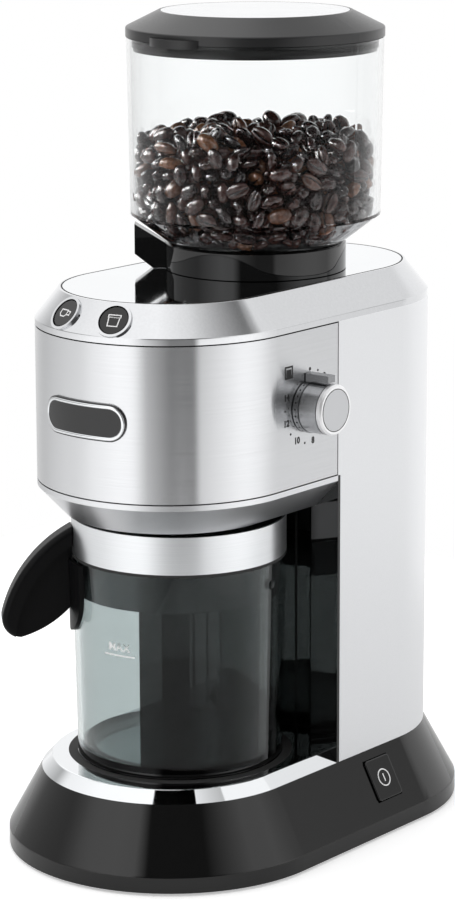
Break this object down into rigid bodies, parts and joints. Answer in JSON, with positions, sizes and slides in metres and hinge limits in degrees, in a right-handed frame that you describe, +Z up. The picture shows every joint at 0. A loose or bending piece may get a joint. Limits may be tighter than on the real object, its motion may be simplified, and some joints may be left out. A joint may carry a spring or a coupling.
{
  "type": "burr coffee grinder",
  "caption": "Upright burr coffee grinder with a clear bean hopper, stadium-shaped steel head and column, side dial, flared black base and a smoked container standing under the head.",
  "frame": {"origin": "on the table, under the middle of the base", "axes": "+Z up, -Y towards the user in front of the container, +X towards the dial and power button side"},
  "size_m": [0.155, 0.25, 0.385],
  "materials": {
    "gloss_black": "gloss",
    "black_plastic": "satin",
    "black_rubber": "matte",
    "fastener_steel": "satin",
    "mirror_chrome": "mirror",
    "satin_silver": "metallic silver paint",
    "brushed_steel": "brushed",
    "cover_metal": "polished",
    "dial_metal": "satin",
    "board": "satin",
    "grey_plastic": "satin",
    "white_nylon": "satin",
    "bearing_bronze": "satin",
    "burr_steel": "ground",
    "magnet_ferrite": "matte",
    "armature_iron": "satin",
    "motor_steel": "satin",
    "clear_plastic": "clear",
    "smoke_plastic": "clear smoked",
    "smoke_dark": "smoked",
    "lid_grey": "satin",
    "lid_bright": "satin"
  },
  "bodies": {
    "body": {"base_shell": "gloss_black", "bottom_cover": "black_plastic", "rubber_feet": "black_rubber", "base_screws": "fastener_steel", "base_deck": "mirror_chrome", "cord_gland": "black_rubber", "power_switch": "black_plastic", "column_shell": "satin_silver", "bay_wall": "gloss_black", "head_lower_ring": "mirror_chrome", "head_underplate": "black_plastic", "head_front_panel": "brushed_steel", "top_cover": "cover_metal", "top_deck": "mirror_chrome", "button_bezels": "mirror_chrome", "control_board": "board", "dial_switch": "black_plastic", "chassis": "grey_plastic", "gear_cover": "grey_plastic", "shaft_bushes": "bearing_bronze", "burr_housing": "grey_plastic", "coffee_chute": "black_plastic", "idler_pin": "fastener_steel", "motor_can": "motor_steel", "motor_magnets": "magnet_ferrite", "motor_end_cap": "black_plastic", "motor_screws": "fastener_steel"},
    "left_button": {"left_button": "gloss_black"},
    "right_button": {"right_button": "gloss_black"},
    "quantity_ring": {"quantity_ring": "dial_metal"},
    "strength_knob": {"strength_knob": "dial_metal", "knob_cap": "dial_metal"},
    "power_button": {"power_button": "gloss_black"},
    "grind_ring": {"grind_ring": "gloss_black"},
    "burr_carrier": {"burr_carrier": "black_plastic", "ring_burr": "burr_steel"},
    "burr_rotor": {"burr_shaft": "fastener_steel", "final_gear": "white_nylon", "sweeper": "black_plastic", "cone_burr": "burr_steel", "burr_nut": "fastener_steel"},
    "idler": {"idler_gear": "white_nylon"},
    "motor_rotor": {"motor_shaft": "fastener_steel", "motor_armature": "armature_iron", "motor_pinion": "bearing_bronze"},
    "hopper": {"hopper_bowl": "clear_plastic", "hopper_neck": "gloss_black"},
    "lid": {"hopper_lid": "lid_grey", "lid_disc": "lid_bright", "lid_seal": "black_rubber"},
    "container": {"container_cup": "smoke_plastic", "container_foot": "gloss_black", "container_seal": "black_rubber", "container_lid_ring": "brushed_steel", "container_lid": "smoke_dark", "container_handle": "black_plastic"}
  },
  "joints": [
    {"name": "hopper_lift", "type": "slide", "parent": "body", "child": "hopper", "axis": [0, 0, 1], "range_m": [0, 0.08]},
    {"name": "lid_lift", "type": "slide", "parent": "hopper", "child": "lid", "axis": [0, 0, 1], "range_m": [0, 0.06]},
    {"name": "grind_turn", "type": "hinge", "parent": "body", "child": "grind_ring", "pos_m": [0, 0.0145, 0.272], "axis": [0, 0, 1], "range_deg": [-45, 45]},
    {"name": "burr_carrier_lift", "type": "slide", "parent": "grind_ring", "child": "burr_carrier", "axis": [0, 0, 1], "range_m": [-0.00075, 0.00075]},
    {"name": "motor_spin", "type": "hinge", "parent": "body", "child": "motor_rotor", "pos_m": [0, 0.062, 0.14], "axis": [0, 0, 1], "continuous": true},
    {"name": "idler_spin", "type": "hinge", "parent": "body", "child": "idler", "pos_m": [0.01707, 0.03917, 0.2], "axis": [0, 0, 1], "continuous": true},
    {"name": "burr_spin", "type": "hinge", "parent": "body", "child": "burr_rotor", "pos_m": [0, 0.0145, 0.23], "axis": [0, 0, 1], "continuous": true},
    {"name": "left_button_press", "type": "slide", "parent": "body", "child": "left_button", "axis": [0.1947, 0.7527, -0.6289], "range_m": [0, 0.0012], "stiffness_N_per_m": 500},
    {"name": "right_button_press", "type": "slide", "parent": "body", "child": "right_button", "axis": [-0.1947, 0.7527, -0.6289], "range_m": [0, 0.0012], "stiffness_N_per_m": 500},
    {"name": "quantity_turn", "type": "hinge", "parent": "body", "child": "quantity_ring", "pos_m": [0.063, -0.0245, 0.213], "axis": [1, 0, 0], "range_deg": [-295, 0]},
    {"name": "strength_turn", "type": "hinge", "parent": "body", "child": "strength_knob", "pos_m": [0.07, -0.0245, 0.213], "axis": [1, 0, 0], "range_deg": [-120, 120]},
    {"name": "power_button_press", "type": "slide", "parent": "body", "child": "power_button", "axis": [-0.8781, 0, -0.4784], "range_m": [0, 0.002], "stiffness_N_per_m": 600},
    {"name": "container_slide", "type": "slide", "parent": "body", "child": "container", "axis": [0, -1, 0], "range_m": [0, 0.14]}
  ],
  "couplings": [
    {"joint": "burr_carrier_lift", "follows": "grind_turn", "m_per_rad": 0.00095},
    {"joint": "idler_spin", "follows": "motor_spin", "ratio": -0.26667},
    {"joint": "burr_spin", "follows": "motor_spin", "ratio": 0.088889}
  ]
}
